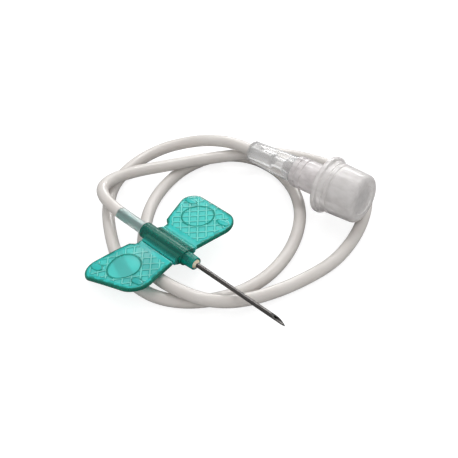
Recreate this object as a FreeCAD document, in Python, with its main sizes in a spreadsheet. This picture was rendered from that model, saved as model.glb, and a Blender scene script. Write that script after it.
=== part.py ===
import FreeCAD, Part
import math
import os
import re
import Sketcher
from FreeCAD import Placement, Rotation, Vector

# Butterfly needle: a short steel cannula in a green winged hub, a soft clear tube lying in
# two loose turns, and a clear socket with a frosted luer hub and its screw cap at the far end.
# Origin: on the cannula's axis where it leaves the hub. +X points to the needle's tip, +Z up.
# The table top that the tube lies on is at z = -axis_height. Millimetres throughout.

doc = FreeCAD.newDocument("butterfly_needle")
sheet = doc.addObject("Spreadsheet::Sheet", "Sizes")

SIZES = [
    # cannula
    ("cannula_dia", 0.8, "outside, 21 gauge"),
    ("cannula_bore", 0.5, "lumen"),
    ("exposed_length", 19.4, "from the hub's nose to the tip"),
    ("bevel_angle", 15.5, "ground face to the axis, degrees"),
    ("lancet_angle", 21, "side grinds to the axis, degrees"),
    ("lancet_turn", 32, "side grinds about the axis, degrees"),
    ("lancet_back", 1.5, "side grinds start this far behind the tip"),
    ("key_depth", 0.03, "waist that the resin grips, on the radius"),
    # winged hub
    ("hub_length", 12.4, "nose to the rear shoulder"),
    ("barrel_dia", 2.9, "outside"),
    ("collar_dia", 2.4, "at the barrel's step"),
    ("nose_dia", 2.2, "at the front face"),
    ("collar_length", 2.2, "step to the front face"),
    ("spigot_dia", 1.5, "inside the tube"),
    ("spigot_length", 6.7, "behind the shoulder"),
    ("spigot_lead", 0.2, "chamfer on the spigot's end"),
    ("glue_well_dia", 1.6, "counterbore in the nose"),
    ("glue_well_depth", 1.2, "counterbore in the nose"),
    ("glue_rise", 0.35, "bead in front of the nose"),
    ("hub_round", 0.15, "edges of the barrel"),
    # web between the barrel and the wings
    ("web_rear", 10.6, "rear end, behind the nose"),
    ("web_front", 2.3, "front end, behind the nose"),
    ("web_thick", 1.7, "beside the barrel"),
    ("web_shoulder", 1.3, "out from the axis, where the web starts to thin"),
    # wings
    ("hinge_out", 2.9, "crease to the hub's axis"),
    ("hinge_gap", 0.06, "wing root to the web's end"),
    ("wing_thick", 0.8, "plate"),
    ("notch_out", 3.5, "notch beside the crease, out from the axis"),
    ("shoulder_rear", 12.2, "shoulder outside the notch"),
    ("shoulder_out", 4.3, "shoulder outside the notch"),
    ("tip_rear", 16.5, "rear outer corner, behind the nose"),
    ("tip_rear_out", 13.9, "rear outer corner, out from the axis"),
    ("tip_front", 0.7, "front outer corner, behind the nose"),
    ("tip_front_out", 12.0, "front outer corner, out from the axis"),
    ("tip_round", 3.1, "outer corners"),
    ("shoulder_round", 0.5, "shoulder and notch"),
    ("twist_zero", 6.1, "behind the nose, where a wing has only its tilt"),
    ("left_twist", 0.014, "slope gained per mm along the hub"),
    ("left_tilt", 0.05, "slope upwards"),
    ("right_twist", 0.028, "slope gained per mm along the hub"),
    ("right_tilt", -0.08, "slope upwards"),
    # grip pattern
    ("grip_rise", 0.1, "ridges above the plate"),
    ("grip_pitch", 1.5, "between ridges"),
    ("grip_width", 0.28, "one ridge"),
    ("grip_margin", 1.0, "plain border round the ridges"),
    ("ring_dia", 5.7, "middle of the ring"),
    ("ring_rear", 8.2, "ring centre, behind the nose"),
    ("ring_out", 8.4, "ring centre, out from the axis"),
    ("pip_rise", 0.2, "finger pips above the plate"),
    ("pip_length", 2.8, "along the hub"),
    ("pip_width", 1.4, "across"),
    ("pip_in", 2.6, "pip centre to the outer edge"),
    ("pip_rear", 12.4, "rear pip, behind the nose"),
    ("pip_front", 3.4, "front pip, behind the nose"),
    # tube
    ("axis_height", 4.3, "hub axis above the table"),
    ("tube_dia", 2.2, "outside"),
    ("tube_bore", 1.54, "inside"),
    # connector, along its own axis from the socket's rear rim
    ("rim_x", -13.7, "rear rim centre"),
    ("rim_y", 28.0, "rear rim centre"),
    ("rim_z", 1.8, "rear rim centre"),
    ("connector_turn", 4.2, "heading from +X towards +Y, degrees"),
    ("connector_rise", 1.6, "cap end up, degrees"),
    ("socket_length", 10.5, "clear socket"),
    ("socket_rear_dia", 4.0, "outside at the rear rim"),
    ("socket_front_dia", 5.0, "outside at the front end"),
    ("socket_rim_round", 0.35, "rear rim"),
    ("tube_depth", 5.5, "tube inside the socket"),
    ("bond_gap", 0.01, "round the tube, the luer hub's nose and the spigot"),
    ("nose_start", 8.1, "luer hub's nose, from the rear rim"),
    ("luer_nose_dia", 2.6, "nose end"),
    ("luer_neck_dia", 4.2, "nose at the shoulder"),
    ("luer_body_dia", 5.8, "outside"),
    ("luer_length", 12.9, "shoulder to mouth"),
    ("luer_mouth_bore", 4.3, "6 percent taper"),
    ("luer_bore_depth", 8.0, "tapered bore"),
    ("luer_through", 1.5, "bore through the nose"),
    ("lug_span", 7.4, "over the two lugs at the mouth"),
    ("lug_width", 2.6, "across one lug"),
    ("lug_length", 1.6, "along the axis"),
    ("cap_start", 17.0, "flange face, from the rear rim"),
    ("cap_length", 7.9, "flange face to the closed end"),
    ("cap_dia", 9.4, "skirt, outside"),
    ("cap_end_dia", 8.8, "skirt at the closed end, outside"),
    ("cap_flange_dia", 10.5, "outside"),
    ("cap_flange_thick", 0.9, "along the axis"),
    ("cap_bore", 8.0, "skirt, inside"),
    ("cap_end_thick", 0.9, "closed end"),
    ("cap_end_round", 0.8, "outer edge of the closed end"),
    ("plug_length", 6.2, "sealing plug from the closed end"),
    ("plug_gap", 0.05, "round the plug, on the radius"),
    ("luer_taper", 0.03, "slope of the luer wall to the axis"),
]

for row, (alias, value, note) in enumerate(SIZES, start=1):
    sheet.set(f"A{row}", alias)
    sheet.set(f"B{row}", str(value))
    sheet.setAlias(f"B{row}", alias)
    sheet.set(f"C{row}", note)
doc.recompute()


def size(alias):
    return float(sheet.get(alias))


def bound(text):
    """An expression with every size name led back to the sheet."""
    return re.sub(r"[a-z][a-z_]+[a-z]", lambda m: "Sizes." + m.group(0), text)


def worth(text):
    value = sheet.evalExpression(bound(text))
    return float(getattr(value, "Value", value))


def new_body(label):
    body = doc.addObject("PartDesign::Body", label)
    body.Label = label
    return body


def plane_of(body, role):
    return next(f for f in body.Origin.OriginFeatures if f.Role == role)


def outline(body, name, role, corners, lift=None):
    """A closed sketch whose corners are pairs of size expressions."""
    sk = body.newObject("Sketcher::SketchObject", name)
    sk.AttachmentSupport = (plane_of(body, role), [""])
    sk.MapMode = "FlatFace"
    if lift:
        sk.setExpression("AttachmentOffset.Base.z", bound(lift))
    spots = [Vector(worth(x), worth(y), 0) for x, y in corners]
    for i, spot in enumerate(spots):
        sk.addGeometry(Part.LineSegment(spot, spots[(i + 1) % len(spots)]), False)
    for i in range(len(spots)):
        sk.addConstraint(Sketcher.Constraint("Coincident", i, 2, (i + 1) % len(spots), 1))
    for i, pair in enumerate(corners):
        for kind, text in zip(("DistanceX", "DistanceY"), pair):
            if worth(text) == 0:
                on_axis = -2 if kind == "DistanceX" else -1
                sk.addConstraint(Sketcher.Constraint("PointOnObject", i, 1, on_axis))
                continue
            n = sk.addConstraint(Sketcher.Constraint(kind, -1, 1, i, 1, worth(text)))
            sk.setExpression(f"Constraints[{n}]", bound(text))
    return sk


def turned(body, name, corners, cut=False):
    """A solid of revolution, or a groove, about the body's own X axis."""
    sk = outline(body, name + "_profile", "XZ_Plane", corners)
    kind = "PartDesign::Groove" if cut else "PartDesign::Revolution"
    feature = body.newObject(kind, name)
    feature.Profile = sk
    feature.ReferenceAxis = (sk, ["H_Axis"])
    feature.Angle = 360
    doc.recompute()
    return feature


def rounded(body, name, feature, radius, wanted):
    """Fillets on the edges of a feature that the test picks."""
    edges = [f"Edge{i}" for i, e in enumerate(feature.Shape.Edges, start=1) if wanted(e)]
    fillet = body.newObject("PartDesign::Fillet", name)
    fillet.Base = (feature, edges)
    fillet.setExpression("Radius", bound(radius))
    doc.recompute()
    return fillet


def rim_at(x, radius):
    """Picks a circular edge at this place along X with this radius."""

    def wanted(edge):
        curve = edge.Curve
        if not isinstance(curve, Part.Circle):
            return False
        return abs(curve.Center.x - x) < 1e-4 and abs(curve.Radius - radius) < 1e-4

    return wanted


# Cannula: a drawn steel tube, ground to a three-faced point with the bevel upwards.
# Its rear end is flush with the end of the spigot, and a shallow waist keys the resin.
def ground(label, base, angle, turn, start_x, rise):
    """Takes off everything above a plane that falls towards the tip."""
    wheel = doc.addObject("Part::Box", label + "_wheel")
    wheel.Length = 12
    wheel.Width = 4
    wheel.Height = 3
    tilt = Rotation(Vector(1, 0, 0), turn) * Rotation(Vector(0, 1, 0), angle)
    corner = tilt.multVec(Vector(0, -wheel.Width.Value / 2, 0))
    heel = Rotation(Vector(1, 0, 0), turn).multVec(Vector(0, 0, rise))
    wheel.Placement = Placement(Vector(start_x, 0, 0) + heel + corner, tilt)
    cut = doc.addObject("Part::Cut", label)
    cut.Base = base
    cut.Tool = wheel
    return cut


cannula_blank = new_body("cannula_blank")
turned(
    cannula_blank,
    "cannula_wall",
    [
        ("-(hub_length + spigot_length)", "cannula_bore / 2"),
        ("-(hub_length + spigot_length)", "cannula_dia / 2"),
        ("-glue_well_depth", "cannula_dia / 2"),
        ("(glue_rise - glue_well_depth) / 2", "cannula_dia / 2 - key_depth"),
        ("glue_rise", "cannula_dia / 2"),
        ("exposed_length", "cannula_dia / 2"),
        ("exposed_length", "cannula_bore / 2"),
    ],
)
cannula_r = size("cannula_dia") / 2
bevel = math.radians(size("bevel_angle"))
bevel_heel = size("exposed_length") - size("cannula_dia") / math.tan(bevel)
point = ground("cannula_bevel", cannula_blank, size("bevel_angle"), 0, bevel_heel, cannula_r)
lancet_x = size("exposed_length") - size("lancet_back")
lancet = math.radians(size("lancet_angle"))
lancet_low = cannula_r * math.cos(math.radians(size("lancet_turn")))
lancet_rise = size("lancet_back") * math.tan(lancet) - lancet_low
for side, turn in (("left", size("lancet_turn")), ("right", -size("lancet_turn"))):
    name = "needle_cannula" if side == "right" else "cannula_left_grind"
    point = ground(name, point, size("lancet_angle"), turn, lancet_x, lancet_rise)
point.Label = "needle_cannula"


# Winged hub, middle part: one green moulding with the barrel, the spigot that the tube is
# pushed over, and the web that carries the two wings at thin moulded creases.
hub = new_body("winged_hub")
hub_outer = turned(
    hub,
    "hub_outer",
    [
        ("-(hub_length + spigot_length)", "0"),
        ("-(hub_length + spigot_length)", "spigot_dia / 2 - spigot_lead"),
        ("-(hub_length + spigot_length) + spigot_lead", "spigot_dia / 2"),
        ("-hub_length", "spigot_dia / 2"),
        ("-hub_length", "barrel_dia / 2"),
        ("-collar_length", "barrel_dia / 2"),
        ("-collar_length", "collar_dia / 2"),
        ("0", "nose_dia / 2"),
        ("0", "0"),
    ],
)
barrel_r = size("barrel_dia") / 2
hub_soft = rounded(
    hub,
    "hub_edges",
    hub_outer,
    "hub_round",
    lambda e: rim_at(-size("hub_length"), barrel_r)(e)
    or rim_at(-size("collar_length"), barrel_r)(e),
)
web_profile = outline(
    hub,
    "web_profile",
    "YZ_Plane",
    [
        ("-(hinge_out - wing_thick / 2 - hinge_gap)", "-wing_thick / 2"),
        ("-web_shoulder", "-web_thick / 2"),
        ("web_shoulder", "-web_thick / 2"),
        ("hinge_out - wing_thick / 2 - hinge_gap", "-wing_thick / 2"),
        ("hinge_out - wing_thick / 2 - hinge_gap", "wing_thick / 2"),
        ("web_shoulder", "web_thick / 2"),
        ("-web_shoulder", "web_thick / 2"),
        ("-(hinge_out - wing_thick / 2 - hinge_gap)", "wing_thick / 2"),
    ],
    lift="-web_rear",
)
web = hub.newObject("PartDesign::Pad", "web")
web.Profile = web_profile
web.setExpression("Length", bound("web_rear - web_front"))
doc.recompute()
hub_bore = turned(
    hub,
    "hub_bore",
    [
        ("-(hub_length + spigot_length)", "0"),
        ("-(hub_length + spigot_length)", "cannula_dia / 2"),
        ("-glue_well_depth", "cannula_dia / 2"),
        ("-glue_well_depth", "glue_well_dia / 2"),
        ("0", "glue_well_dia / 2"),
        ("0", "0"),
    ],
    cut=True,
)

# Adhesive: cured resin that fills the well round the cannula and stands a little proud.
bead = new_body("needle_adhesive")
turned(
    bead,
    "bead",
    [
        ("-glue_well_depth", "cannula_dia / 2"),
        ("-glue_well_depth", "glue_well_dia / 2"),
        ("0", "glue_well_dia / 2"),
        ("glue_rise * 0.6", "cannula_dia / 2 + 0.2"),
        ("glue_rise", "cannula_dia / 2"),
        ("(glue_rise - glue_well_depth) / 2", "cannula_dia / 2 - key_depth"),
    ],
)


# Wings: soft plates on the creases. Both have taken a set: the left one rises a little. The
# right one lies over the tube, and its rear outer corner hangs lower than its front one.
REACH = 20


def wing_sheet(side, label, thick):
    """The plate's endless sheet, straight at the crease, with a slope that grows along the hub."""
    twist = size(label + "_twist")
    sections = []
    for out in (size("hinge_out"), REACH):
        corners = []
        for x, half in ((-REACH, -1), (REACH, -1), (REACH, 1), (-REACH, 1)):
            slope = size(label + "_tilt") + twist * (x + size("twist_zero"))
            z = slope * (out - size("hinge_out")) + half * thick / 2
            corners.append(Vector(x, side * out, z))
        sections.append(Part.makePolygon(corners + corners[:1]))
    return Part.makeLoft(sections, True, True)


def wing_plan(side, inset=0.0):
    """The wing seen from above, as a tall prism with its corners rounded."""
    corners = [
        (-size("web_rear"), size("hinge_out"), 0),
        (-size("web_rear"), size("notch_out"), size("shoulder_round")),
        (-size("shoulder_rear"), size("shoulder_out"), size("shoulder_round")),
        (-size("tip_rear"), size("tip_rear_out"), size("tip_round")),
        (-size("tip_front"), size("tip_front_out"), size("tip_round")),
        (-size("web_front"), size("hinge_out"), 0),
    ]
    spots = [Vector(x, side * out, -REACH / 2) for x, out, _ in corners]
    face = Part.Face(Part.makePolygon(spots + spots[:1]))
    prism = face.extrude(Vector(0, 0, REACH))
    for spot, (_, _, radius) in zip(spots, corners):
        if not radius:
            continue
        upright = [
            e
            for e in prism.Edges
            if abs(e.Vertexes[0].X - spot.x) < 1e-6
            and abs(e.Vertexes[0].Y - spot.y) < 1e-6
            and abs(e.Vertexes[-1].X - spot.x) < 1e-6
            and abs(e.Vertexes[-1].Y - spot.y) < 1e-6
        ]
        prism = prism.makeFillet(radius, upright)
    if not inset:
        return prism
    floor = min(prism.Faces, key=lambda f: f.CenterOfMass.z)
    wire = floor.OuterWire.makeOffset2D(-inset)
    return Part.Face(wire).extrude(Vector(0, 0, REACH))


def grip_bars(side):
    """Two crossed rows of upright bars at 45 degrees to the hub."""
    centre = Vector(-size("ring_rear"), side * size("ring_out"), 0)
    half_count = int(size("tip_rear") / size("grip_pitch"))
    bars = []
    for angle in (45, -45):
        for i in range(-half_count, half_count + 1):
            bar = Part.makeBox(2 * REACH, size("grip_width"), REACH)
            bar.translate(Vector(-REACH, i * size("grip_pitch") - size("grip_width") / 2, 0))
            bar.rotate(Vector(0, 0, 0), Vector(0, 0, 1), angle)
            bar.translate(Vector(centre.x, centre.y, -REACH / 2))
            bars.append(bar)
    return bars[0].multiFuse(bars[1:])


def upright_tube(side, outer, inner=0.0):
    centre = Vector(-size("ring_rear"), side * size("ring_out"), -REACH / 2)
    tube = Part.makeCylinder(outer, REACH, centre)
    if inner:
        tube = tube.cut(Part.makeCylinder(inner, REACH, centre))
    return tube


def pip(side, x):
    """A raised oval near the wing's outer edge, for the finger."""
    share = (x - size("tip_front")) / (size("tip_rear") - size("tip_front"))
    edge = size("tip_front_out") + share * (size("tip_rear_out") - size("tip_front_out"))
    oval = Part.Ellipse(Vector(0, 0, 0), size("pip_length") / 2, size("pip_width") / 2)
    prism = Part.Face(Part.Wire(oval.toShape())).extrude(Vector(0, 0, REACH))
    prism.translate(Vector(-x, side * (edge - size("pip_in")), -REACH / 2))
    return prism


def make_wing(label, side, bare_ring):
    thick = size("wing_thick")
    plate = wing_sheet(side, label, thick).common(wing_plan(side))
    root = Part.makeCylinder(
        thick / 2,
        size("web_rear") - size("web_front"),
        Vector(-size("web_rear"), side * size("hinge_out"), 0),
        Vector(1, 0, 0),
    )
    pips = [pip(side, size("pip_rear")), pip(side, size("pip_front"))]
    ring_r = size("ring_dia") / 2
    half_line = size("grip_width") / 2
    bars = grip_bars(side).common(wing_plan(side, size("grip_margin")))
    if bare_ring:
        bars = bars.cut(upright_tube(side, ring_r))
    for oval in pips:
        bars = bars.cut(oval)
    pattern = bars.fuse(upright_tube(side, ring_r + half_line, ring_r - half_line))
    ridges = pattern.common(wing_sheet(side, label, thick + 2 * size("grip_rise")))
    top = wing_sheet(side, label, thick + 2 * size("pip_rise"))
    raised = [oval.common(top) for oval in pips]
    wing = doc.addObject("Part::Feature", label + "_wing")
    wing.Label = label + "_wing"
    wing.Shape = plate.multiFuse([root, ridges] + raised).removeSplitter()
    return wing


left_wing = make_wing("left", 1, False)
right_wing = make_wing("right", -1, True)


# Tube: soft clear tubing, pushed over the spigot at one end and bonded into the socket at
# the other. It lies on the table in a little over two turns and crosses itself.
flat = size("tube_dia") / 2 - size("axis_height")
connector_way = Rotation(Vector(0, 0, 1), size("connector_turn")) * Rotation(
    Vector(0, 1, 0), -size("connector_rise")
)
rim = Vector(size("rim_x"), size("rim_y"), size("rim_z"))
connector = Placement(rim, connector_way)


def on_connector(distance):
    return connector.multVec(Vector(distance, 0, 0))


ROUTE = [
    Vector(-size("hub_length"), 0, 0),
    Vector(-16.8, 0, 0),
    Vector(-21.2, 0.15, 0),
    Vector(-25.3, 1.2, -0.3),
    Vector(-27.8, 3.0, -0.6),
    Vector(-28.6, 5.8, -0.8),
    Vector(-28.2, 8.8, -1.0),
    Vector(-27.0, 11.9, -1.0),
    Vector(-24.9, 15.6, -1.0),
    Vector(-22.0, 20.8, -0.9),
    Vector(-18.5, 26.5, -0.9),
    Vector(-14.6, 31.7, -0.8),
    Vector(-9.9, 36.2, -1.5),
    Vector(-4.1, 39.6, -2.5),
    Vector(2.0, 41.0, flat),
    Vector(6.7, 37.6, flat),
    Vector(10.1, 32.2, flat),
    Vector(12.6, 25.8, flat),
    Vector(13.8, 19.1, flat),
    Vector(13.1, 12.7, flat),
    Vector(11.5, 6.3, -3.1),
    Vector(9.3, 0.0, -2.3),
    Vector(6.1, -4.5, -0.85),
    Vector(1.0, -5.8, -0.85),
    Vector(-5.4, -5.0, -2.6),
    Vector(-11.8, -1.5, flat),
    Vector(-16.4, 3.1, flat),
    Vector(-20.3, 8.2, flat),
    Vector(-22.9, 14.3, flat),
    Vector(-24.0, 20.9, flat),
    Vector(-22.4, 27.4, flat),
    Vector(-17.4, 31.6, flat),
    Vector(-10.7, 32.0, flat),
    Vector(-4.4, 29.7, flat),
    Vector(0.8, 25.6, flat),
    Vector(4.6, 20.3, flat),
    Vector(7.2, 14.3, flat),
    Vector(8.3, 7.7, flat),
    Vector(7.2, 1.1, flat),
    Vector(3.4, -4.9, flat),
    Vector(-2.2, -8.2, flat),
    Vector(-8.6, -8.0, flat),
    Vector(-14.7, -5.2, flat),
    Vector(-20.5, -1.7, flat),
    Vector(-25.7, 2.3, flat),
    Vector(-29.9, 7.4, flat),
    Vector(-31.7, 13.8, -2.8),
    Vector(-30.5, 20.2, -1.8),
    Vector(-26.6, 24.6, -0.5),
    Vector(-22.4, 26.4, 0.9),
    on_connector(-4.2),
    on_connector(0.6) + Vector(0, 0, 0.04),
    on_connector(size("tube_depth")),
]


def tube_path(points):
    """Straight runs joined by tangent arcs as large as the shorter run allows."""
    edges = []
    start = points[0]
    radii = []
    for before, corner, after in zip(points, points[1:], points[2:]):
        run_in = corner - before
        run_out = after - corner
        reach = 0.45 * min(run_in.Length, run_out.Length)
        half_turn = run_in.getAngle(run_out) / 2
        radii.append(reach / math.tan(half_turn))
        run_in.normalize()
        run_out.normalize()
        arc_start = corner - run_in * reach
        arc_end = corner + run_out * reach
        towards = run_out - run_in
        towards.normalize()
        depth = radii[-1] / math.cos(half_turn) - radii[-1]
        arc_middle = corner + towards * depth
        edges.append(Part.LineSegment(start, arc_start).toShape())
        edges.append(Part.Arc(arc_start, arc_middle, arc_end).toShape())
        start = arc_end
    edges.append(Part.LineSegment(start, points[-1]).toShape())
    return Part.Wire(edges), radii


def ring_at(spot, way, radius):
    return Part.Wire(Part.makeCircle(radius, spot, way))


def hollow_pipe(path, points, outer, inner):
    """The tube's outer wall, its bore and the two ring-shaped ends, closed into one solid."""
    first_way = points[1] - points[0]
    last_way = points[-1] - points[-2]
    faces = []
    for radius in (outer, inner):
        wall = path.makePipeShell([ring_at(points[0], first_way, radius)], False, False)
        faces += wall.Faces
    for spot, way in ((points[0], first_way), (points[-1], last_way)):
        rings = [ring_at(spot, way, outer), ring_at(spot, way, inner)]
        faces.append(Part.makeFace(rings, "Part::FaceMakerBullseye"))
    shell = Part.makeShell(faces)
    shell.sewShape()
    solid = Part.makeSolid(shell)
    solid.fix(1e-6, 1e-6, 1e-6)
    return solid


path, radii = tube_path(ROUTE)
tubing = doc.addObject("Part::Feature", "tubing")
tubing.Label = "tubing"
tubing.Shape = hollow_pipe(path, ROUTE, size("tube_dia") / 2, size("tube_bore") / 2)
section = math.pi / 4 * (size("tube_dia") ** 2 - size("tube_bore") ** 2)
print("tube length %.1f mm" % path.Length)
print("tube volume %.2f, section times length %.2f" % (tubing.Shape.Volume, section * path.Length))
print("radii", " ".join("%.1f" % r for r in radii))


# Clear socket: a glossy soft sleeve that takes the tube at its rear and the luer hub's nose
# in its wider front.
socket = new_body("tube_sleeve")
turned(
    socket,
    "socket_wall",
    [
        ("0", "tube_dia / 2 + bond_gap"),
        ("0", "socket_rear_dia / 2 - socket_rim_round"),
        ("socket_rim_round", "socket_rear_dia / 2"),
        ("socket_length", "socket_front_dia / 2"),
        ("socket_length", "luer_neck_dia / 2 + bond_gap"),
        ("nose_start", "luer_nose_dia / 2 + bond_gap"),
        ("nose_start", "luer_through / 2"),
        ("tube_depth", "luer_through / 2"),
        ("tube_depth", "tube_dia / 2 + bond_gap"),
    ],
)

# Luer hub: frosted moulding with a nose for the socket, a 6 percent female cone and two
# lugs at its mouth.
luer = new_body("luer_hub")
luer_outer = turned(
    luer,
    "luer_outer",
    [
        ("nose_start", "0"),
        ("nose_start", "luer_nose_dia / 2"),
        ("socket_length", "luer_neck_dia / 2"),
        ("socket_length", "luer_body_dia / 2 - 0.2"),
        ("socket_length + 0.2", "luer_body_dia / 2"),
        ("socket_length + luer_length", "luer_body_dia / 2"),
        ("socket_length + luer_length", "0"),
    ],
)
lug_profile = outline(
    luer,
    "lug_profile",
    "YZ_Plane",
    [
        ("-lug_width / 2", "-lug_span / 2"),
        ("lug_width / 2", "-lug_span / 2"),
        ("lug_width / 2", "lug_span / 2"),
        ("-lug_width / 2", "lug_span / 2"),
    ],
    lift="socket_length + luer_length - lug_length",
)
lugs = luer.newObject("PartDesign::Pad", "lugs")
lugs.Profile = lug_profile
lugs.setExpression("Length", bound("lug_length"))
doc.recompute()
turned(
    luer,
    "luer_cone",
    [
        ("nose_start", "0"),
        ("nose_start", "luer_through / 2"),
        ("socket_length + luer_length - luer_bore_depth", "luer_through / 2"),
        (
            "socket_length + luer_length - luer_bore_depth",
            "luer_mouth_bore / 2 - luer_taper * luer_bore_depth",
        ),
        ("socket_length + luer_length", "luer_mouth_bore / 2"),
        ("socket_length + luer_length", "0"),
    ],
    cut=True,
)

# Cap: frosted screw cap with a flange at its open end and a plug that closes the luer cone.
cap = new_body("luer_cap")
cap_shell = turned(
    cap,
    "cap_shell",
    [
        ("cap_start", "cap_bore / 2"),
        ("cap_start", "cap_flange_dia / 2 - 0.15"),
        ("cap_start + 0.15", "cap_flange_dia / 2"),
        ("cap_start + cap_flange_thick - 0.15", "cap_flange_dia / 2"),
        ("cap_start + cap_flange_thick", "cap_flange_dia / 2 - 0.15"),
        ("cap_start + cap_flange_thick", "cap_dia / 2"),
        ("cap_start + cap_length", "cap_end_dia / 2"),
        ("cap_start + cap_length", "0"),
        ("cap_start + cap_length - cap_end_thick - plug_length", "0"),
        (
            "cap_start + cap_length - cap_end_thick - plug_length",
            "luer_mouth_bore / 2 - plug_gap - luer_taper * "
            "(socket_length + luer_length - cap_start - cap_length + cap_end_thick + plug_length)",
        ),
        (
            "cap_start + cap_length - cap_end_thick",
            "luer_mouth_bore / 2 - plug_gap - luer_taper * "
            "(socket_length + luer_length - cap_start - cap_length + cap_end_thick)",
        ),
        ("cap_start + cap_length - cap_end_thick", "cap_bore / 2"),
    ],
)
rounded(
    cap,
    "cap_end",
    cap_shell,
    "cap_end_round",
    rim_at(size("cap_start") + size("cap_length"), size("cap_end_dia") / 2),
)

for body in (socket, luer, cap):
    body.Placement = connector
doc.recompute()

PIECES = [point, hub, bead, left_wing, right_wing, tubing, socket, luer, cap]
for thing in doc.Objects:
    if {"Invalid", "Error"} & set(thing.State):
        raise RuntimeError(f"{thing.Label} did not build: {thing.State}")
for piece in PIECES:
    if piece.Shape.isNull() or not piece.Shape.isValid():
        raise RuntimeError(f"{piece.Label} has no valid shape")

os.makedirs("parts", exist_ok=True)
for piece in PIECES:
    piece.Shape.exportStep(f"parts/{piece.Label}.step")
    solids = len(piece.Shape.Solids)
    print(piece.Label, "solids", solids, "volume %.2f" % piece.Shape.Volume)
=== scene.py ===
import math

import bmesh
import bpy
from mathutils import Matrix, Vector, geometry


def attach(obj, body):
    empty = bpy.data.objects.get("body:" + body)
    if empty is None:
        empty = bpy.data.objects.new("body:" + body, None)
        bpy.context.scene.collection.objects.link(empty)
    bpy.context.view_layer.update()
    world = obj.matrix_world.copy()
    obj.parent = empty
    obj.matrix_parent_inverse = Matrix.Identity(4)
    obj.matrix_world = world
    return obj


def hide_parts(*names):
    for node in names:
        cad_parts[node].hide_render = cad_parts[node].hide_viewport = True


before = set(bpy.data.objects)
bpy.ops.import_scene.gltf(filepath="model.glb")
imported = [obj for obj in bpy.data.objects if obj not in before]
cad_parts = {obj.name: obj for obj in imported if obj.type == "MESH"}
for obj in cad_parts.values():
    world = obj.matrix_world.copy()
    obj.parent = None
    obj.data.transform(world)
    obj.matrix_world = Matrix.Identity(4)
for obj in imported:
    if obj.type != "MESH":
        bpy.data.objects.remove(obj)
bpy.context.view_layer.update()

# Cannula. Drawn stainless tube of 21 gauge with a three-faced point ground on its front end.
# The wall shows the fine lines of the drawing die, and the ground faces are brighter.
MM = 0.001
STEEL = (0.135, 0.128, 0.124)
GROUND_STEEL = (0.20, 0.195, 0.19)
GROUND_LEAN = 0.12
NOISE_LOW = 0.3
NOISE_HIGH = 0.7


def new_finish(name):
    """A material, its Principled shader and the coordinates of the piece that carries it."""
    material = bpy.data.materials.new(name)
    material.use_nodes = True
    nodes = material.node_tree.nodes
    return material, nodes["Principled BSDF"], nodes.new("ShaderNodeTexCoord").outputs["Object"]


def join(owner, output, socket):
    """Links two sockets in the nodes of a material or of the world."""
    owner.node_tree.links.new(output, socket)


def blotches(material, place, scale, stretch=(1, 1, 1), turn=(0, 0, 0), detail=2):
    """Noise from 0 to 1 with this many spots to the millimetre, drawn out along an axis."""
    nodes = material.node_tree.nodes
    mapping = nodes.new("ShaderNodeMapping")
    mapping.vector_type = "TEXTURE"
    mapping.inputs["Rotation"].default_value = turn
    mapping.inputs["Scale"].default_value = stretch
    noise = nodes.new("ShaderNodeTexNoise")
    noise.inputs["Scale"].default_value = scale / MM
    noise.inputs["Detail"].default_value = detail
    join(material, place, mapping.inputs["Vector"])
    join(material, mapping.outputs["Vector"], noise.inputs["Vector"])
    return noise.outputs["Fac"]


def vary_colour(material, share, first, second, socket):
    """Feeds a socket a colour between two, as the noise goes from its low to its high."""
    ramp = material.node_tree.nodes.new("ShaderNodeValToRGB")
    ramp.color_ramp.elements[0].position = NOISE_LOW
    ramp.color_ramp.elements[1].position = NOISE_HIGH
    ramp.color_ramp.elements[0].color = (*first, 1)
    ramp.color_ramp.elements[1].color = (*second, 1)
    join(material, share, ramp.inputs["Fac"])
    join(material, ramp.outputs["Color"], socket)


def vary_value(material, share, first, second, socket):
    """Feeds a socket a number between two, as the noise goes from its low to its high."""
    spread = material.node_tree.nodes.new("ShaderNodeMapRange")
    spread.inputs["From Min"].default_value = NOISE_LOW
    spread.inputs["From Max"].default_value = NOISE_HIGH
    spread.inputs["To Min"].default_value = first
    spread.inputs["To Max"].default_value = second
    join(material, share, spread.inputs["Value"])
    join(material, spread.outputs["Result"], socket)


def add_relief(material, shader, share, depth, strength):
    """Gives the surface a fine relief, this many millimetres deep."""
    bump = material.node_tree.nodes.new("ShaderNodeBump")
    bump.inputs["Strength"].default_value = strength
    bump.inputs["Distance"].default_value = depth * MM
    join(material, share, bump.inputs["Height"])
    join(material, bump.outputs["Normal"], shader.inputs["Normal"])


def drawn_steel():
    """Steel with fine lines along the tube, and brighter where it is ground."""
    material, shader, place = new_finish("drawn_steel")
    nodes = material.node_tree.nodes
    lines = blotches(material, place, 14, stretch=(60, 1, 1))
    shader.inputs["Metallic"].default_value = 1
    # the ground faces are the only ones that lean towards the tip
    facing = nodes.new("ShaderNodeNewGeometry")
    parts = nodes.new("ShaderNodeSeparateXYZ")
    join(material, facing.outputs["Normal"], parts.inputs["Vector"])
    mix = nodes.new("ShaderNodeMix")
    mix.data_type = "RGBA"
    vary_colour(material, lines, [c * 0.8 for c in STEEL], STEEL, mix.inputs["A"])
    mix.inputs["B"].default_value = (*GROUND_STEEL, 1)
    ground = nodes.new("ShaderNodeMath")
    ground.operation = "GREATER_THAN"
    ground.inputs[1].default_value = GROUND_LEAN
    join(material, parts.outputs["X"], ground.inputs[0])
    join(material, ground.outputs[0], mix.inputs["Factor"])
    join(material, mix.outputs["Result"], shader.inputs["Base Color"])
    vary_value(material, lines, 0.14, 0.22, shader.inputs["Roughness"])
    add_relief(material, shader, lines, 0.002, 0.4)
    return material


def dress(piece, material):
    """One material on a piece, whether the piece is new or from the frame."""
    piece.data.materials.clear()
    piece.data.materials.append(material)


dress(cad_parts["needle_cannula"], drawn_steel())

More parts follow.
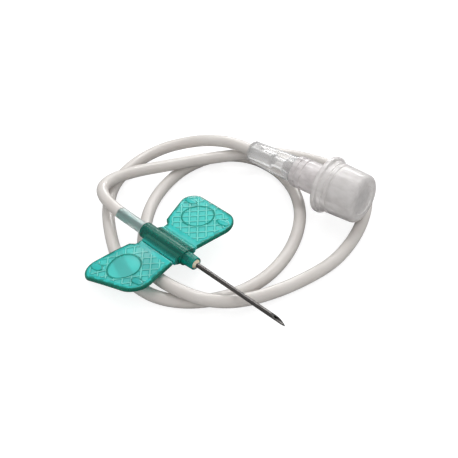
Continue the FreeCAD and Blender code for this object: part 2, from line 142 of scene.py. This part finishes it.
# Winged hub, middle part. One moulding of clear green plastic: the barrel with its stepped
# nose, the spigot for the tube and the web, which thins towards the creases of the wings.
HUB_LENGTH = 12.4 * MM
SPIGOT_TIP = -19.1 * MM
SPIGOT_CHAMFER = 0.2 * MM
BARREL_R = 1.45 * MM
SPIGOT_R = 0.75 * MM
COLLAR_R = 1.2 * MM
NOSE_R = 1.1 * MM
COLLAR_LENGTH = 2.2 * MM
CANNULA_R = 0.4 * MM
WELL_R = 0.8 * MM
WELL_DEPTH = 1.2 * MM
WEB_REAR = -10.6 * MM
WEB_FRONT = -2.6 * MM
BARREL_SIDES = 48
EDGE_R = 0.12 * MM
# the web grows from the barrel's faces beyond this share of its radius, in steps that reach this
# far out with this half thickness, and its tint goes from its root to its end: the lighter green
# of thinner plastic, with a painted bright highlight along the crease
WEB_SEAM = 0.81
WEB_STEPS = ((1.6, 0.76), (2.0, 0.54), (2.44, 0.40))
WEB_ROOT = 1.5
WEB_END = WEB_STEPS[-1][0]
NOSE_TINT = 0.4
GREEN = (0.03, 0.84, 0.80)
HUB_DEPTH = 1500
# the first mark is the lighter tint of thin plastic with a painted bright highlight, the second
# pales the spigot
HUB_MARKS = (("thin_and_highlight", (0.03, 1.0, 0.90)), ("pale", (0.72, 0.98, 0.95)))


def lathe(corners, sides, closed=True):
    """A bmesh turned about the X axis. The profile is closed, or starts and ends on the axis."""
    turned = bmesh.new()
    ring = [turned.verts.new((x, 0, r)) for x, r in corners]
    edges = [turned.edges.new(pair) for pair in zip(ring, ring[1:])]
    if closed:
        edges.append(turned.edges.new((ring[-1], ring[0])))
    bmesh.ops.spin(
        turned,
        geom=ring + edges,
        cent=(0, 0, 0),
        axis=(1, 0, 0),
        angle=math.tau,
        steps=sides,
        use_merge=True,
    )
    bmesh.ops.remove_doubles(turned, verts=turned.verts, dist=1e-7)
    bmesh.ops.recalc_face_normals(turned, faces=turned.faces)
    return turned


def settle(name, shape, smooth_angle=35):
    """Makes an object of a finished bmesh, smooth up to this angle between its faces."""
    mesh = bpy.data.meshes.new(name)
    shape.to_mesh(mesh)
    shape.free()
    mesh.shade_smooth()
    piece = bpy.data.objects.new(name, mesh)
    bpy.context.scene.collection.objects.link(piece)
    mesh.set_sharp_from_angle(angle=math.radians(smooth_angle))
    return piece


def soften(piece, radius):
    """Rounds the edges that turn by more than 30 degrees."""
    bevel = piece.modifiers.new("soft_edges", "BEVEL")
    bevel.width = radius
    bevel.segments = 3
    bevel.limit_method = "ANGLE"
    bevel.angle_limit = math.radians(30)


def clear_green(name, base, clear, depth, haze, marks):
    """Green plastic that is deeper where it is thicker, tinted by the piece's marks, some of
    which paint highlights and shade.
    """
    material, shader, place = new_finish(name)
    shader.inputs["IOR"].default_value = 1.38
    shader.inputs["Specular IOR Level"].default_value = 0.3
    shader.inputs["Transmission Weight"].default_value = clear
    nodes = material.node_tree.nodes
    flow = blotches(material, place, 0.35)
    flowing = nodes.new("ShaderNodeMix")
    flowing.data_type = "RGBA"
    vary_value(material, flow, 0, 1, flowing.inputs["Factor"])
    flowing.inputs["A"].default_value = (*(c * 0.94 for c in base), 1)
    flowing.inputs["B"].default_value = (*base, 1)
    colour = flowing.outputs["Result"]
    for mark, shade in marks:
        share = nodes.new("ShaderNodeAttribute")
        share.attribute_name = mark
        marked = nodes.new("ShaderNodeMix")
        marked.data_type = "RGBA"
        marked.inputs["B"].default_value = (*shade, 1)
        join(material, share.outputs["Fac"], marked.inputs["Factor"])
        join(material, colour, marked.inputs["A"])
        colour = marked.outputs["Result"]
    join(material, colour, shader.inputs["Base Color"])
    vary_value(material, flow, haze, haze + 0.08, shader.inputs["Roughness"])
    add_relief(material, shader, blotches(material, place, 0.7), 0.01, 0.15)
    depth_tint = nodes.new("ShaderNodeVolumeAbsorption")
    depth_tint.inputs["Color"].default_value = (*GREEN, 1)
    depth_tint.inputs["Density"].default_value = depth
    join(material, depth_tint.outputs["Volume"], nodes["Material Output"].inputs["Volume"])
    return material


def make_hub():
    """Turns the barrel and its spigot, and draws the web out of both sides of the barrel."""
    shape = lathe(
        [
            (SPIGOT_TIP, CANNULA_R),
            (SPIGOT_TIP, SPIGOT_R - SPIGOT_CHAMFER),
            (SPIGOT_TIP + SPIGOT_CHAMFER, SPIGOT_R),
            (-HUB_LENGTH, SPIGOT_R),
            (-HUB_LENGTH, BARREL_R),
            (WEB_REAR, BARREL_R),
            (WEB_FRONT, BARREL_R),
            (-COLLAR_LENGTH, BARREL_R),
            (-COLLAR_LENGTH, COLLAR_R),
            (0, NOSE_R),
            (0, WELL_R),
            (-WELL_DEPTH, WELL_R),
            (-WELL_DEPTH, CANNULA_R),
        ],
        BARREL_SIDES,
    )
    # this mark is the lighter tint of thin plastic with a painted bright highlight along the
    # web's end at the crease, and the thin-walled nose takes a share of it
    thin_and_highlight = shape.verts.layers.float.new("thin_and_highlight")
    pale = shape.verts.layers.float.new("pale")
    for v in shape.verts:
        if v.co.x > -WELL_DEPTH:
            v[thin_and_highlight] = NOSE_TINT
        if v.co.x < WEB_REAR and v.co.yz.length < (SPIGOT_R + BARREL_R) / 2:
            v[pale] = 1
    for side in (1, -1):
        strip = [
            f
            for f in shape.faces
            if WEB_REAR < f.calc_center_median().x < WEB_FRONT
            and f.calc_center_median().y * side > WEB_SEAM * BARREL_R
        ]
        for out, half in WEB_STEPS:
            grown = bmesh.ops.extrude_face_region(shape, geom=strip)
            strip = [g for g in grown["geom"] if isinstance(g, bmesh.types.BMFace)]
            rim = {v for f in strip for v in f.verts}
            top = max(v.co.z for v in rim)
            for v in rim:
                v.co.y = side * out * MM
                v.co.z *= half * MM / top
                # rising to a painted bright highlight at the web's end
                v[thin_and_highlight] = ((out - WEB_ROOT) / (WEB_END - WEB_ROOT)) ** 2
    bmesh.ops.recalc_face_normals(shape, faces=shape.faces)
    hub = settle("hub_moulding", shape)
    soften(hub, EDGE_R)
    return hub


hub = make_hub()
dress(hub, clear_green("hub_green", (0.001, 0.28, 0.21), 0.72, HUB_DEPTH, 0.22, HUB_MARKS))
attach(hub, "needle_body")
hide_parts("winged_hub")

# Adhesive. Cured resin in the well of the nose, round the cannula, cream and a little cloudy.
# It is poured when the cannula is in place, so its face climbs the steel slightly.
RESIN_DARK = (0.62, 0.50, 0.38)
RESIN_LIGHT = (0.80, 0.70, 0.57)


def cream_resin():
    material, shader, place = new_finish("cream_resin")
    cloud = blotches(material, place, 3, detail=4)
    vary_colour(material, cloud, RESIN_DARK, RESIN_LIGHT, shader.inputs["Base Color"])
    vary_value(material, cloud, 0.3, 0.45, shader.inputs["Roughness"])
    shader.inputs["Subsurface Weight"].default_value = 0.4
    shader.inputs["Subsurface Scale"].default_value = 0.3 * MM
    add_relief(material, shader, cloud, 0.03, 0.5)
    return material


dress(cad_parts["needle_adhesive"], cream_resin())

# Wings. The same green moulding as the hub, folded at a thin crease on each side. Both faces
# carry a lattice of fine ridges with a ring in the middle and two oval finger pips.
HALF_THICK = 0.4
HINGE_OUT = 2.9
ROOT_OUT = HINGE_OUT - HALF_THICK
TWIST_ZERO = 6.1
# the corners seen from above, each with the radius that rounds it
WING_PLAN = [
    (-10.6, ROOT_OUT, 0.05),
    (-10.7, 3.6, 0.4),
    (-11.7, 4.2, 0.5),
    (-15.6, 13.55, 2.2),
    (-0.9, 11.85, 3.1),
    (-2.1, 6.3, 4.0),
    (-2.8, ROOT_OUT, 0.05),
]
LEAST_CORNER = 0.05
CHORD = 0.35
EDGE_ROUND = 0.22
EDGE_STEPS = (0.03, 0.08, 0.15, EDGE_ROUND)
ROOT_STEPS = (0.04, 0.12, 0.24, HALF_THICK)
ROOT_LEAST = 0.002
RIDGE_PITCH = 1.46
RIDGES_EACH_WAY = 6
RIDGE_HALF = 0.09
SLOPE = 0.09
FLANK = 0.3
RIDGE_STEPS = (RIDGE_HALF, RIDGE_HALF + SLOPE, FLANK)
RIDGE_RISE = 0.1
RIM = 0.24
MARGIN = 0.75
FIELD_OUT = HINGE_OUT + MARGIN
RING_AT = (-8.2, 8.4)
RING_R = 2.85
RING_HALF = 0.11
RING_SIDES = 56
PIPS = ((-12.4, 10.8), (-3.4, 9.7))
PIP_HALVES = (1.4, 0.7)
PIP_STEPS = (0.45, 0.68, 0.88, 1.0)
PIP_SIDES = 28
PIP_RISE = 0.2
PIP_RIM = 0.86
PIP_EDGE = 0.999
DIAGONALS = (Vector((1, 1)).normalized(), Vector((1, -1)).normalized())
# the lines run past the wing's edge, and the net keeps what lies in it
REAR_REACH = -20
FRONT_REACH = 4
DIAGONAL_REACH = 14
ALL_CELLS = 0
SAME_SPOT = 0.001
# shares of the ridge mark, a painted highlight on the ridges and the root with a paler tone in
# the field, and of the outline mark, painted shade on rims and feet
ROOT_PALE = 0.5
FIELD_PALE = 0.35
RING_FIELD_PALE = 0.3
RING_DARK = 0.8
FOOT_DARK = 0.3
WING_DEPTH = 1900
# the ridge colour is a painted highlight with the field's paler tone, the outline colour is
# painted shade
WING_MARKS = (("ridge", (0.30, 0.94, 0.87)), ("outline", (0.0, 0.24, 0.165)))


def wing_outline(inset):
    """The wing's rounded outline seen from above, this far inside its edge."""
    corners = [Vector((x, y)) for x, y, _ in WING_PLAN]
    outline = []
    for i, (corner, plan) in enumerate(zip(corners, WING_PLAN)):
        way_in = (corner - corners[i - 1]).normalized()
        way_out = (corners[(i + 1) % len(corners)] - corner).normalized()
        # the corners run clockwise, so the inside lies to the right
        right_in = Vector((way_in.y, -way_in.x))
        right_out = Vector((way_out.y, -way_out.x))
        moved = corner + (right_in + right_out) * (inset / (1 + right_in.dot(right_out)))
        turn = way_in.angle_signed(way_out)
        hollow = turn < 0
        radius = max(LEAST_CORNER, plan[2] + (inset if hollow else -inset))
        reach = radius * math.tan(abs(turn) / 2)
        middle = moved - way_in * reach + (right_in * radius) * (-1 if hollow else 1)
        first = moved - way_in * reach - middle
        steps = max(2, math.ceil(abs(turn) * radius / CHORD))
        for step in range(steps + 1):
            spun = Matrix.Rotation(-turn * step / steps, 2) @ first
            outline.append(middle + spun)
    return outline


def loop(spots):
    """Each spot with the next one, and the last with the first."""
    return list(zip(spots, spots[1:] + spots[:1]))


def oval(centre, halves, count):
    """A loop of this many spots, with these half axes."""
    turns = [math.tau * i / count for i in range(count)]
    x, y = centre
    return [Vector((x + halves[0] * math.cos(t), y + halves[1] * math.sin(t))) for t in turns]


def in_pip(spot):
    """How far out a spot is in the nearer pip, where 1 is the pip's edge."""
    long, short = PIP_HALVES
    return min(math.hypot((spot.x - x) / long, (spot.y - y) / short) for x, y in PIPS)


def inside_by(spot, outline):
    """The distance from a spot in the wing to its edge."""
    gaps = []
    for start, end in loop(outline):
        near, share = geometry.intersect_point_line(spot, start, end)
        near = start if share < 0 else end if share > 1 else near.to_2d()
        gaps.append((spot - near).length)
    return min(gaps)


def to_ridge(spot, way):
    """How far a spot is from the nearest ridge line that runs across this way."""
    along = (spot - Vector(RING_AT)).dot(way) + RIDGE_PITCH / 2
    return abs(along % RIDGE_PITCH - RIDGE_PITCH / 2)


def surface(spot, outline, bare_ring):
    """The wing's half thickness at a spot, its share of the ridge mark (painted highlight, and
    the field's paler tone) and of the outline mark (painted shade).
    """
    edge = inside_by(spot, outline)
    height = HALF_THICK
    if edge < EDGE_ROUND:
        height += math.sqrt(EDGE_ROUND**2 - (EDGE_ROUND - edge) ** 2) - EDGE_ROUND
    root = spot.y - ROOT_OUT
    # the rounded root takes a painted highlight along the crease
    if root < HALF_THICK:
        rounded = HALF_THICK**2 - (HALF_THICK - root) ** 2
        return min(height, math.sqrt(max(ROOT_LEAST, rounded))), ROOT_PALE, 0
    # painted shade along the rim
    if edge < RIM:
        return height, 0, 1
    ring = (spot - Vector(RING_AT)).length - RING_R
    pip = in_pip(spot)
    # a pip is a dome with painted shade round its rim
    if pip < PIP_EDGE:
        dome = math.sqrt(1 - pip**2)
        return height + PIP_RISE * dome, 0, RING_DARK if pip > PIP_RIM else 0
    # a spot lies on a line, so each limit runs midway between two lines
    # painted shade on the ring's ridge
    if abs(ring) < RING_HALF + SLOPE / 2:
        return height + RIDGE_RISE, 0, RING_DARK
    in_field = edge > MARGIN + SLOPE / 2 and spot.y > FIELD_OUT + SLOPE / 2
    if not in_field:
        return height, 0, 0
    if bare_ring and ring < 0:
        return height, RING_FIELD_PALE, 0
    to_middle = min(to_ridge(spot, way) for way in DIAGONALS)
    # painted highlight on the ridge's top
    if to_middle < RIDGE_HALF + SLOPE / 2:
        return height + RIDGE_RISE, 1, 0
    # painted shade at the ridge's foot
    if to_middle < RIDGE_HALF + 1.5 * SLOPE:
        return height, 0, FOOT_DARK
    return height, FIELD_PALE, 0


def wing_lines():
    """Every line along which the wing's face changes its slope."""
    lines = []
    for inset in (*EDGE_STEPS, MARGIN, MARGIN + SLOPE):
        lines += loop(wing_outline(inset))
    for out in (*(ROOT_OUT + step for step in ROOT_STEPS), FIELD_OUT, FIELD_OUT + SLOPE):
        lines.append((Vector((REAR_REACH, out)), Vector((FRONT_REACH, out))))
    for shift in (-RING_HALF - SLOPE, -RING_HALF, RING_HALF, RING_HALF + SLOPE):
        lines += loop(oval(RING_AT, (RING_R + shift,) * 2, RING_SIDES))
    for pip in PIPS:
        for share in PIP_STEPS:
            lines += loop(oval(pip, [share * half for half in PIP_HALVES], PIP_SIDES))
    centre = Vector(RING_AT)
    shifts = [-step for step in RIDGE_STEPS[::-1]] + list(RIDGE_STEPS)
    for way, along in (DIAGONALS, DIAGONALS[::-1]):
        for i in range(-RIDGES_EACH_WAY, RIDGES_EACH_WAY + 1):
            for shift in shifts:
                spot = centre + way * (i * RIDGE_PITCH + shift)
                lines.append((spot - along * DIAGONAL_REACH, spot + along * DIAGONAL_REACH))
    return lines


def make_wing(name, side, twist, tilt, bare_ring):
    """A net of cells between the lines, raised to both faces and closed round its edge."""
    outline = wing_outline(0)
    rim = list(range(len(outline)))
    spots = outline + [end for line in wing_lines() for end in line]
    pairs = [(i, i + 1) for i in range(len(rim), len(spots), 2)]
    net = geometry.delaunay_2d_cdt(spots, pairs, [rim[::-1]], ALL_CELLS, SAME_SPOT)
    flat, cells, owners = net[0], net[2], net[5]
    cells = [cell for cell, owner in zip(cells, owners) if owner]
    shape = bmesh.new()
    layers = [shape.verts.layers.float.new(mark) for mark, _ in WING_MARKS]
    corners = {}
    for i in sorted({i for cell in cells for i in cell}):
        spot = Vector(flat[i])
        half, *shares = surface(spot, outline, bare_ring)
        middle = (spot.y - HINGE_OUT) * (tilt + twist * (spot.x + TWIST_ZERO))
        corners[i] = []
        for z in (middle + half, middle - half):
            corner = shape.verts.new((spot.x * MM, side * spot.y * MM, z * MM))
            for layer, share in zip(layers, shares):
                corner[layer] = share
            corners[i].append(corner)
    sides = set()
    for cell in cells:
        for level in (0, 1):
            shape.faces.new([corners[i][level] for i in cell])
        sides.update(loop(cell))
    for start, end in [pair for pair in sides if pair[::-1] not in sides]:
        shape.faces.new([corners[end][0], corners[start][0], corners[start][1], corners[end][1]])
    bmesh.ops.recalc_face_normals(shape, faces=shape.faces)
    return settle(name, shape, 38)


wing_green = clear_green("wing_green", (0.05, 0.72, 0.69), 0.58, WING_DEPTH, 0.18, WING_MARKS)
for label, side, twist, tilt in (("left", 1, 0.014, 0.05), ("right", -1, 0.028, -0.08)):
    wing = make_wing(label + "_wing_plate", side, twist, tilt, side < 0)
    dress(wing, wing_green)
    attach(wing, label + "_wing_body")
    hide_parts(label + "_wing")

# Tube. Soft clear tubing, a little milky, pushed over the spigot at one end and bonded into
# the socket at the other. It lies in a little over two loose turns.
TUBE_R = 1.1 * MM
TUBE_WALL = 0.33 * MM
TABLE = -4.3 * MM
FLAT = TABLE / MM + TUBE_R / MM
CONNECTOR_AT = (-13.7 * MM, 28.0 * MM, 1.8 * MM)
CONNECTOR_TURN = math.radians(4.2)
CONNECTOR_RISE = math.radians(-1.6)
CONNECTOR = Matrix.Translation(CONNECTOR_AT) @ (
    Matrix.Rotation(CONNECTOR_TURN, 4, "Z") @ Matrix.Rotation(CONNECTOR_RISE, 4, "Y")
)
ON_SPIGOT = (-18.9, -12.3)
SPIGOT_REACH = 1.4
SOCKET_REACH = 1.2 * MM


def on_connector(distance, lift=0.0):
    """A point on the connector's axis, this many millimetres from the socket's rear rim."""
    spot = CONNECTOR @ Vector((distance * MM, 0, 0))
    return spot.x / MM, spot.y / MM, spot.z / MM + lift


# the tube's middle from the hub's rear face to its end in the socket
ROUTE = [
    (-12.4, 0, 0),
    (-16.8, 0, 0),
    (-21.2, 0.15, 0),
    (-25.3, 1.2, -0.3),
    (-27.8, 3.0, -0.6),
    (-28.6, 5.8, -0.8),
    (-28.2, 8.8, -1.0),
    (-27.0, 11.9, -1.0),
    (-24.9, 15.6, -1.0),
    (-22.0, 20.8, -0.9),
    (-18.5, 26.5, -0.9),
    (-14.6, 31.7, -0.8),
    (-9.9, 36.2, -1.5),
    (-4.1, 39.6, -2.5),
    (2.0, 41.0, FLAT),
    (6.7, 37.6, FLAT),
    (10.1, 32.2, FLAT),
    (12.6, 25.8, FLAT),
    (13.8, 19.1, FLAT),
    (13.1, 12.7, FLAT),
    (11.5, 6.3, -3.1),
    (9.3, 0.0, -2.3),
    (6.1, -4.5, -0.85),
    (1.0, -5.8, -0.85),
    (-5.4, -5.0, -2.6),
    (-11.8, -1.5, FLAT),
    (-16.4, 3.1, FLAT),
    (-20.3, 8.2, FLAT),
    (-22.9, 14.3, FLAT),
    (-24.0, 20.9, FLAT),
    (-22.4, 27.4, FLAT),
    (-17.4, 31.6, FLAT),
    (-10.7, 32.0, FLAT),
    (-4.4, 29.7, FLAT),
    (0.8, 25.6, FLAT),
    (4.6, 20.3, FLAT),
    (7.2, 14.3, FLAT),
    (8.3, 7.7, FLAT),
    (7.2, 1.1, FLAT),
    (3.4, -4.9, FLAT),
    (-2.2, -8.2, FLAT),
    (-8.6, -8.0, FLAT),
    (-14.7, -5.2, FLAT),
    (-20.5, -1.7, FLAT),
    (-25.7, 2.3, FLAT),
    (-29.9, 7.4, FLAT),
    (-31.7, 13.8, -2.8),
    (-30.5, 20.2, -1.8),
    (-26.6, 24.6, -0.5),
    (-22.4, 26.4, 0.9),
    on_connector(-4.2),
    on_connector(0.6, 0.04),
    on_connector(5.5),
]


def route_curve(name, bevel_r):
    """A smooth curve along the route, bare or with a round section."""
    data = bpy.data.curves.new(name, "CURVE")
    data.dimensions = "3D"
    data.resolution_u = 12
    data.bevel_depth = bevel_r
    data.bevel_resolution = 10
    data.use_fill_caps = False
    line = data.splines.new("NURBS")
    line.points.add(len(ROUTE) - 1)
    for point, (x, y, z) in zip(line.points, ROUTE):
        point.co = (x * MM, y * MM, z * MM, 1)
    line.order_u = 3
    line.use_endpoint_u = True
    return bpy.data.objects.new(name, data)


def as_mesh(name, carrier):
    """The carrier's shape as a mesh object, and the carrier is dropped."""
    bpy.context.scene.collection.objects.link(carrier)
    depsgraph = bpy.context.evaluated_depsgraph_get()
    mesh = bpy.data.meshes.new_from_object(carrier.evaluated_get(depsgraph))
    bpy.data.objects.remove(carrier)
    mesh.name = name
    piece = bpy.data.objects.new(name, mesh)
    bpy.context.scene.collection.objects.link(piece)
    return piece


def milky_tube(name, dark, light, clear, haze):
    """Soft tubing whose colour drifts between two, see-through by a share and this rough."""
    material, shader, place = new_finish(name)
    cloud = blotches(material, place, 0.25)
    vary_colour(material, cloud, dark, light, shader.inputs["Base Color"])
    vary_value(material, cloud, haze, haze + 0.1, shader.inputs["Roughness"])
    shader.inputs["Coat Weight"].default_value = 0.6
    shader.inputs["Coat Roughness"].default_value = 0.18
    shader.inputs["IOR"].default_value = 1.45
    shader.inputs["Transmission Weight"].default_value = clear
    return material


centre_line = as_mesh("route_points", route_curve("route_line", 0))
bpy.data.objects.remove(centre_line)
tube = as_mesh("infusion_tube", route_curve("tube_line", TUBE_R))
tube.data.shade_smooth()
tube_wall = tube.modifiers.new("wall", "SOLIDIFY")
tube_wall.thickness = TUBE_WALL
tube_wall.offset = -1
dress(tube, milky_tube("milky_tube", (0.80, 0.755, 0.715), (0.85, 0.815, 0.78), 0.35, 0.32))
# the wall is stretched over the spigot and bonded in the socket, and is clear there
tight = milky_tube("tight_tube", (0.84, 0.97, 0.95), (0.90, 0.99, 0.98), 0.93, 0.28)
bonded = milky_tube("bonded_tube", (0.97, 0.96, 0.95), (1.0, 1.0, 0.99), 0.7, 0.1)
tube.data.materials.append(tight)
tube.data.materials.append(bonded)
to_connector = CONNECTOR.inverted()
for face in tube.data.polygons:
    x, y, z = face.center / MM
    if ON_SPIGOT[0] < x < ON_SPIGOT[1] and abs(y) < SPIGOT_REACH and z > -SPIGOT_REACH:
        face.material_index = 1
    spot = to_connector @ face.center
    if spot.x > 0 and spot.yz.length < SOCKET_REACH:
        face.material_index = 2
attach(tube, "needle_body")
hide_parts("tubing")

# Socket. A glossy clear sleeve, bonded over the tube's end. Its wider front takes the nose of
# the luer hub.
TUBE_BOND = 1.11
TURNED_SIDES = 64
# each corner's place on the connector's axis, from the rear rim, and its radius
SLEEVE_PROFILE = [
    (0, TUBE_BOND),
    (0, 1.65),
    (0.1, 1.85),
    (0.35, 2.0),
    (10.3, 2.5),
    (10.5, 2.4),
    (10.5, 2.11),
    (8.1, 1.31),
    (8.1, 0.75),
    (5.5, 0.75),
    (5.5, TUBE_BOND),
]


def clear_sleeve():
    """Clear plastic with faint ripples along the sleeve, under a glossy skin."""
    material, shader, place = new_finish("clear_sleeve")
    ripple = blotches(material, place, 0.6, (5, 1, 1), (0, 0, CONNECTOR_TURN))
    vary_colour(material, ripple, (0.98, 0.97, 0.965), (1, 1, 1), shader.inputs["Base Color"])
    vary_value(material, ripple, 0.12, 0.16, shader.inputs["Roughness"])
    shader.inputs["IOR"].default_value = 1.3
    shader.inputs["Transmission Weight"].default_value = 0.8
    shader.inputs["Coat Weight"].default_value = 1
    shader.inputs["Coat Roughness"].default_value = 0.22
    return material


def on_luer_line(name, corners, sides, closed=True, blocks=()):
    """A turned piece of millimetre corners with blocks on it, set in line with the connector."""
    shape = lathe([(x * MM, r * MM) for x, r in corners], sides, closed)
    for block in blocks:
        bmesh.ops.create_cube(shape, size=MM, matrix=block)
    bmesh.ops.transform(shape, matrix=CONNECTOR, verts=shape.verts)
    return settle(name, shape)


sleeve = on_luer_line("socket_sleeve", SLEEVE_PROFILE, TURNED_SIDES)
dress(sleeve, clear_sleeve())
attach(sleeve, "needle_body")
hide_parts("tube_sleeve")

# Luer hub. A frosted moulding with a nose for the socket, a cone for the syringe and two lugs
# at its mouth for the thread of what is screwed on. The cap hides the lugs.
LUER_PROFILE = [
    (8.1, 0.75),
    (8.1, 1.3),
    (10.5, 2.1),
    (10.5, 2.7),
    (10.7, 2.9),
    (11.5, 2.9),
    (11.62, 2.76),
    (11.84, 2.76),
    (11.96, 2.9),
    (12.7, 2.9),
    (12.82, 2.78),
    (13.04, 2.78),
    (13.16, 2.9),
    (23.3, 2.9),
    (23.4, 2.8),
    (23.4, 2.15),
    (15.4, 1.91),
    (15.4, 0.75),
]
LUG_SIZE = (1.6, 2.6, 0.9)
LUG_AT = 22.6 * MM
LUG_OUT = 3.25 * MM


def frosted(name, dark, light, clear, mottle):
    """Translucent plastic with a fine mottling, this many flecks to the millimetre."""
    material, shader, place = new_finish(name)
    flecks = blotches(material, place, mottle, (2, 1, 1), (0, 0, CONNECTOR_TURN), detail=5)
    vary_colour(material, flecks, dark, light, shader.inputs["Base Color"])
    vary_value(material, flecks, 0.14, 0.24, shader.inputs["Roughness"])
    shader.inputs["IOR"].default_value = 1.42
    shader.inputs["Transmission Weight"].default_value = clear
    add_relief(material, shader, flecks, 0.03, 0.35)
    return material


lugs = [
    Matrix.Translation((LUG_AT, 0, out)) @ Matrix.Diagonal((*LUG_SIZE, 1))
    for out in (LUG_OUT, -LUG_OUT)
]
luer = on_luer_line("luer_moulding", LUER_PROFILE, TURNED_SIDES, blocks=lugs)
dress(luer, frosted("frosted_luer", (0.68, 0.64, 0.64), (0.98, 0.94, 0.94), 0.45, 1.2))
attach(luer, "needle_body")
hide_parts("luer_hub")

# Cap. A frosted screw cap with a flange at its open end, a rounded closed end and a plug
# inside that fills the luer cone.
CAP_PROFILE = [
    (24.76, 0),
    (24.76, 2.6),
    (24.9, 2.75),
    (24.9, 3.5),
    (24.84, 3.86),
    (24.64, 4.15),
    (24.4, 4.33),
    (24.1, 4.42),
    (20.04, 4.6),
    (19.94, 4.47),
    (19.74, 4.48),
    (19.64, 4.62),
    (19.14, 4.64),
    (19.04, 4.51),
    (18.84, 4.52),
    (18.74, 4.66),
    (18.2, 4.68),
    (17.98, 4.8),
    (17.9, 5.08),
    (17.8, 5.2),
    (17.65, 5.25),
    (17.25, 5.25),
    (17.08, 5.2),
    (17.0, 5.08),
    (17.0, 4.0),
    (24.0, 4.0),
    (24.0, 2.118),
    (17.8, 1.932),
    (17.8, 0),
]
CAP_SIDES = 96
cap = on_luer_line("screw_cap", CAP_PROFILE, CAP_SIDES, closed=False)
dress(cap, frosted("frosted_cap", (0.84, 0.81, 0.80), (1.0, 0.98, 0.97), 0.5, 1.1))
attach(cap, "cap_body")
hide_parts("luer_cap")

# Table. A plain white top, which keeps the soft shadow of the part. It glows only where the
# camera sees it, straight or through the clear pieces, and throws no light on them.
TABLE_HALF = 2.0
TABLE_GLOW = 0.80


def white_top():
    """A dull pale grey that glows for the camera's own rays and those that pass a clear piece."""
    material, shader, place = new_finish("white_top")
    nodes = material.node_tree.nodes
    grain = blotches(material, place, 0.02, detail=3)
    vary_colour(material, grain, (0.30,) * 3, (0.31,) * 3, shader.inputs["Base Color"])
    shader.inputs["Roughness"].default_value = 0.9
    shader.inputs["Specular IOR Level"].default_value = 0
    shader.inputs["Emission Color"].default_value = (1, 1, 1, 1)
    rays = nodes.new("ShaderNodeLightPath")
    seen = nodes.new("ShaderNodeMath")
    seen.operation = "MAXIMUM"
    join(material, rays.outputs["Is Camera Ray"], seen.inputs[0])
    join(material, rays.outputs["Is Transmission Ray"], seen.inputs[1])
    glow = nodes.new("ShaderNodeMath")
    glow.operation = "MULTIPLY"
    glow.inputs[1].default_value = TABLE_GLOW
    join(material, seen.outputs[0], glow.inputs[0])
    join(material, glow.outputs[0], shader.inputs["Emission Strength"])
    return material


top = bmesh.new()
bmesh.ops.create_grid(top, x_segments=1, y_segments=1, size=TABLE_HALF)
bmesh.ops.translate(top, verts=top.verts, vec=(0, 0, TABLE))
table_top = settle("table_top", top)
dress(table_top, white_top())

# Light. A wide soft lamp overhead and behind, two long strips that draw the bright lines on
# the tube and the barrel, a weaker lamp in front, and an even pale sky, white to the camera.
SKY_ON_PART = 0.92
SKY_IN_GLOSS = 0.5


def lamp(name, spot, along, across, power):
    """A lamp aimed at the part, this long in the needle's direction and this wide, in watts."""
    data = bpy.data.lights.new(name, "AREA")
    data.shape = "RECTANGLE"
    data.size = along
    data.size_y = across
    data.energy = power
    light = bpy.data.objects.new(name, data)
    back = Vector(spot).normalized()
    side = back.cross(Vector((1, 0, 0))).normalized()
    turned = Matrix((side.cross(back), side, back)).transposed()
    light.matrix_world = Matrix.Translation(spot) @ turned.to_4x4()
    bpy.context.scene.collection.objects.link(light)


lamp("overhead_softbox", (-0.10, 0.14, 0.28), 0.12, 0.22, 0.16)
lamp("high_strip", (-0.153, 0.096, 0.264), 0.20, 0.045, 0.18)
lamp("low_strip", (-0.143, 0.234, 0.12), 0.20, 0.045, 0.22)
lamp("front_fill", (0.20, -0.10, 0.20), 0.10, 0.10, 0.06)

world = bpy.data.worlds.new("pale_sky")
bpy.context.scene.world = world
world.use_nodes = True
sky_nodes = world.node_tree.nodes
sky = sky_nodes["Background"]
sky.inputs["Color"].default_value = (1, 1, 1, 1)
sky_rays = sky_nodes.new("ShaderNodeLightPath")
sky_level = sky_nodes.new("ShaderNodeMapRange")
sky_level.inputs["To Min"].default_value = SKY_ON_PART
sky_level.inputs["To Max"].default_value = SKY_IN_GLOSS
sky_seen = sky_nodes.new("ShaderNodeMath")
sky_seen.operation = "MAXIMUM"
join(world, sky_rays.outputs["Is Glossy Ray"], sky_level.inputs["Value"])
join(world, sky_level.outputs["Result"], sky_seen.inputs[0])
join(world, sky_rays.outputs["Is Camera Ray"], sky_seen.inputs[1])
join(world, sky_seen.outputs[0], sky.inputs["Strength"])

# Camera. It stands where the photograph was taken from, some 15 cm from the part, in front of
# the needle's point, to its right and above it.
CAMERA_AT = Vector((0.07609, -0.07027, 0.09425))
CAMERA_AIM = Vector((-0.00593, 0.01378, -0.0043))
camera_data = bpy.data.cameras.new("camera")
camera_data.lens = 67.4
camera_data.sensor_width = 36
camera_data.clip_start = 0.01
camera = bpy.data.objects.new("camera", camera_data)
camera_turn = (CAMERA_AIM - CAMERA_AT).to_track_quat("-Z", "Y")
camera.matrix_world = Matrix.Translation(CAMERA_AT) @ camera_turn.to_matrix().to_4x4()
bpy.context.scene.collection.objects.link(camera)
bpy.context.scene.camera = camera
bpy.context.scene.view_settings.view_transform = "Standard"
